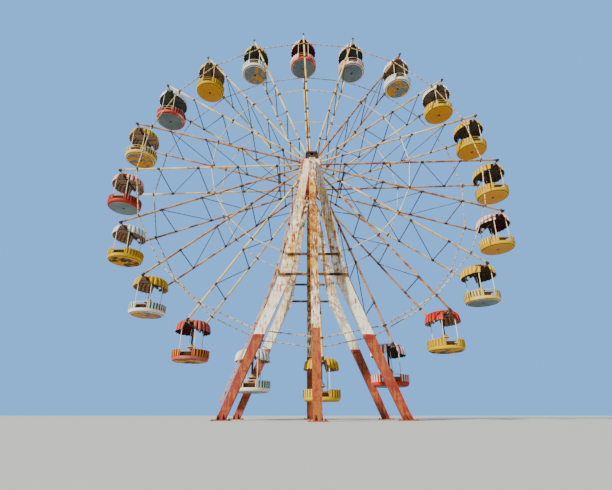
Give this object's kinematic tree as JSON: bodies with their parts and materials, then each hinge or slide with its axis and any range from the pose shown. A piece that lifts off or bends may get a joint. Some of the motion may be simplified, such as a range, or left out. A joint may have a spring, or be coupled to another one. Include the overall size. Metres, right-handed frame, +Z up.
{
  "type": "ferris wheel",
  "caption": "old fairground ferris wheel: steel A-frame mast with struts, rusted lattice wheel, open round cabins with umbrella roofs in worn bright paint",
  "frame": {"origin": "on the ground, midway between the six feet and under the wheel's axle", "axes": "+Z up, X across the wheel from its left to its right as seen from the front, +Y along the axle from the front to the rear"},
  "size_m": [24.9134, 10.76, 25.9757],
  "materials": {
    "mast_white": "matte, worn",
    "housing_brown": "matte, worn",
    "tie_brown": "matte, worn",
    "ladder_cream": "matte, worn",
    "flange_red": "matte, worn",
    "ring_cream": "matte, worn",
    "spoke_cream": "matte, worn",
    "cabin_rose": "matte, worn",
    "cabin_white": "matte, worn",
    "cabin_yellow": "matte, worn",
    "cabin_cream": "matte, worn",
    "cabin_red": "matte, worn",
    "cabin_green": "matte, worn",
    "cabin_olive": "matte, worn"
  },
  "bodies": {
    "mast": {"leg_front_left": "mast_white", "leg_front_right": "mast_white", "strut_front": "mast_white", "bearing_housing_front": "housing_brown", "knee_tie_front": "tie_brown", "upper_tie_front": "tie_brown", "leg_rear_left": "mast_white", "leg_rear_right": "mast_white", "strut_rear": "mast_white", "bearing_housing_rear": "housing_brown", "knee_tie_rear": "tie_brown", "upper_tie_rear": "tie_brown", "ladder": "ladder_cream"},
    "wheel": {"hub": "flange_red", "outer_ring_front": "ring_cream", "inner_ring_front": "ring_cream", "outer_ring_rear": "ring_cream", "inner_ring_rear": "ring_cream", "spoke_frame_01": "spoke_cream", "spoke_frame_02": "spoke_cream", "spoke_frame_03": "spoke_cream", "spoke_frame_04": "spoke_cream", "spoke_frame_05": "spoke_cream", "spoke_frame_06": "spoke_cream", "spoke_frame_07": "spoke_cream", "spoke_frame_08": "spoke_cream", "spoke_frame_09": "spoke_cream", "spoke_frame_10": "spoke_cream", "spoke_frame_11": "spoke_cream", "spoke_frame_12": "spoke_cream", "spoke_frame_13": "spoke_cream", "spoke_frame_14": "spoke_cream", "spoke_frame_15": "spoke_cream", "spoke_frame_16": "spoke_cream", "spoke_frame_17": "spoke_cream", "spoke_frame_18": "spoke_cream", "spoke_frame_19": "spoke_cream", "spoke_frame_20": "spoke_cream"},
    "cabin_01_body": {"cabin_01": "cabin_rose"},
    "cabin_02_body": {"cabin_02": "cabin_white"},
    "cabin_03_body": {"cabin_03": "cabin_white"},
    "cabin_04_body": {"cabin_04": "cabin_yellow"},
    "cabin_05_body": {"cabin_05": "cabin_yellow"},
    "cabin_06_body": {"cabin_06": "cabin_yellow"},
    "cabin_07_body": {"cabin_07": "cabin_cream"},
    "cabin_08_body": {"cabin_08": "cabin_cream"},
    "cabin_09_body": {"cabin_09": "cabin_yellow"},
    "cabin_10_body": {"cabin_10": "cabin_red"},
    "cabin_11_body": {"cabin_11": "cabin_yellow"},
    "cabin_12_body": {"cabin_12": "cabin_white"},
    "cabin_13_body": {"cabin_13": "cabin_red"},
    "cabin_14_body": {"cabin_14": "cabin_green"},
    "cabin_15_body": {"cabin_15": "cabin_yellow"},
    "cabin_16_body": {"cabin_16": "cabin_red"},
    "cabin_17_body": {"cabin_17": "cabin_olive"},
    "cabin_18_body": {"cabin_18": "cabin_rose"},
    "cabin_19_body": {"cabin_19": "cabin_yellow"},
    "cabin_20_body": {"cabin_20": "cabin_white"}
  },
  "joints": [
    {"name": "wheel_spin", "type": "hinge", "parent": "mast", "child": "wheel", "pos_m": [0, 0, 14.2], "axis": [0, 1, 0], "continuous": true},
    {"name": "cabin_01_swing", "type": "hinge", "parent": "wheel", "child": "cabin_01_body", "pos_m": [-0.46152, 0, 25.69074], "axis": [0, 1, 0], "continuous": true},
    {"name": "cabin_02_swing", "type": "hinge", "parent": "wheel", "child": "cabin_02_body", "pos_m": [3.11191, 0, 25.27096], "axis": [0, 1, 0], "continuous": true},
    {"name": "cabin_03_swing", "type": "hinge", "parent": "wheel", "child": "cabin_03_body", "pos_m": [6.38071, 0, 23.76747], "axis": [0, 1, 0], "continuous": true},
    {"name": "cabin_04_swing", "type": "hinge", "parent": "wheel", "child": "cabin_04_body", "pos_m": [9.02493, 0, 21.32746], "axis": [0, 1, 0], "continuous": true},
    {"name": "cabin_05_swing", "type": "hinge", "parent": "wheel", "child": "cabin_05_body", "pos_m": [10.78572, 0, 18.18976], "axis": [0, 1, 0], "continuous": true},
    {"name": "cabin_06_swing", "type": "hinge", "parent": "wheel", "child": "cabin_06_body", "pos_m": [11.49074, 0, 14.66152], "axis": [0, 1, 0], "continuous": true},
    {"name": "cabin_07_swing", "type": "hinge", "parent": "wheel", "child": "cabin_07_body", "pos_m": [11.07095, 0, 11.08809], "axis": [0, 1, 0], "continuous": true},
    {"name": "cabin_08_swing", "type": "hinge", "parent": "wheel", "child": "cabin_08_body", "pos_m": [9.56747, 0, 7.81929], "axis": [0, 1, 0], "continuous": true},
    {"name": "cabin_09_swing", "type": "hinge", "parent": "wheel", "child": "cabin_09_body", "pos_m": [7.12746, 0, 5.17507], "axis": [0, 1, 0], "continuous": true},
    {"name": "cabin_10_swing", "type": "hinge", "parent": "wheel", "child": "cabin_10_body", "pos_m": [3.98976, 0, 3.41428], "axis": [0, 1, 0], "continuous": true},
    {"name": "cabin_11_swing", "type": "hinge", "parent": "wheel", "child": "cabin_11_body", "pos_m": [0.46152, 0, 2.70926], "axis": [0, 1, 0], "continuous": true},
    {"name": "cabin_12_swing", "type": "hinge", "parent": "wheel", "child": "cabin_12_body", "pos_m": [-3.11191, 0, 3.12905], "axis": [0, 1, 0], "continuous": true},
    {"name": "cabin_13_swing", "type": "hinge", "parent": "wheel", "child": "cabin_13_body", "pos_m": [-6.38071, 0, 4.63253], "axis": [0, 1, 0], "continuous": true},
    {"name": "cabin_14_swing", "type": "hinge", "parent": "wheel", "child": "cabin_14_body", "pos_m": [-9.02493, 0, 7.07254], "axis": [0, 1, 0], "continuous": true},
    {"name": "cabin_15_swing", "type": "hinge", "parent": "wheel", "child": "cabin_15_body", "pos_m": [-10.78572, 0, 10.21024], "axis": [0, 1, 0], "continuous": true},
    {"name": "cabin_16_swing", "type": "hinge", "parent": "wheel", "child": "cabin_16_body", "pos_m": [-11.49074, 0, 13.73848], "axis": [0, 1, 0], "continuous": true},
    {"name": "cabin_17_swing", "type": "hinge", "parent": "wheel", "child": "cabin_17_body", "pos_m": [-11.07095, 0, 17.3119], "axis": [0, 1, 0], "continuous": true},
    {"name": "cabin_18_swing", "type": "hinge", "parent": "wheel", "child": "cabin_18_body", "pos_m": [-9.56747, 0, 20.58071], "axis": [0, 1, 0], "continuous": true},
    {"name": "cabin_19_swing", "type": "hinge", "parent": "wheel", "child": "cabin_19_body", "pos_m": [-7.12746, 0, 23.22493], "axis": [0, 1, 0], "continuous": true},
    {"name": "cabin_20_swing", "type": "hinge", "parent": "wheel", "child": "cabin_20_body", "pos_m": [-3.98976, 0, 24.98572], "axis": [0, 1, 0], "continuous": true}
  ],
  "couplings": [
    {"joint": "cabin_01_swing", "follows": "wheel_spin", "ratio": -1},
    {"joint": "cabin_02_swing", "follows": "wheel_spin", "ratio": -1},
    {"joint": "cabin_03_swing", "follows": "wheel_spin", "ratio": -1},
    {"joint": "cabin_04_swing", "follows": "wheel_spin", "ratio": -1},
    {"joint": "cabin_05_swing", "follows": "wheel_spin", "ratio": -1},
    {"joint": "cabin_06_swing", "follows": "wheel_spin", "ratio": -1},
    {"joint": "cabin_07_swing", "follows": "wheel_spin", "ratio": -1},
    {"joint": "cabin_08_swing", "follows": "wheel_spin", "ratio": -1},
    {"joint": "cabin_09_swing", "follows": "wheel_spin", "ratio": -1},
    {"joint": "cabin_10_swing", "follows": "wheel_spin", "ratio": -1},
    {"joint": "cabin_11_swing", "follows": "wheel_spin", "ratio": -1},
    {"joint": "cabin_12_swing", "follows": "wheel_spin", "ratio": -1},
    {"joint": "cabin_13_swing", "follows": "wheel_spin", "ratio": -1},
    {"joint": "cabin_14_swing", "follows": "wheel_spin", "ratio": -1},
    {"joint": "cabin_15_swing", "follows": "wheel_spin", "ratio": -1},
    {"joint": "cabin_16_swing", "follows": "wheel_spin", "ratio": -1},
    {"joint": "cabin_17_swing", "follows": "wheel_spin", "ratio": -1},
    {"joint": "cabin_18_swing", "follows": "wheel_spin", "ratio": -1},
    {"joint": "cabin_19_swing", "follows": "wheel_spin", "ratio": -1},
    {"joint": "cabin_20_swing", "follows": "wheel_spin", "ratio": -1}
  ]
}
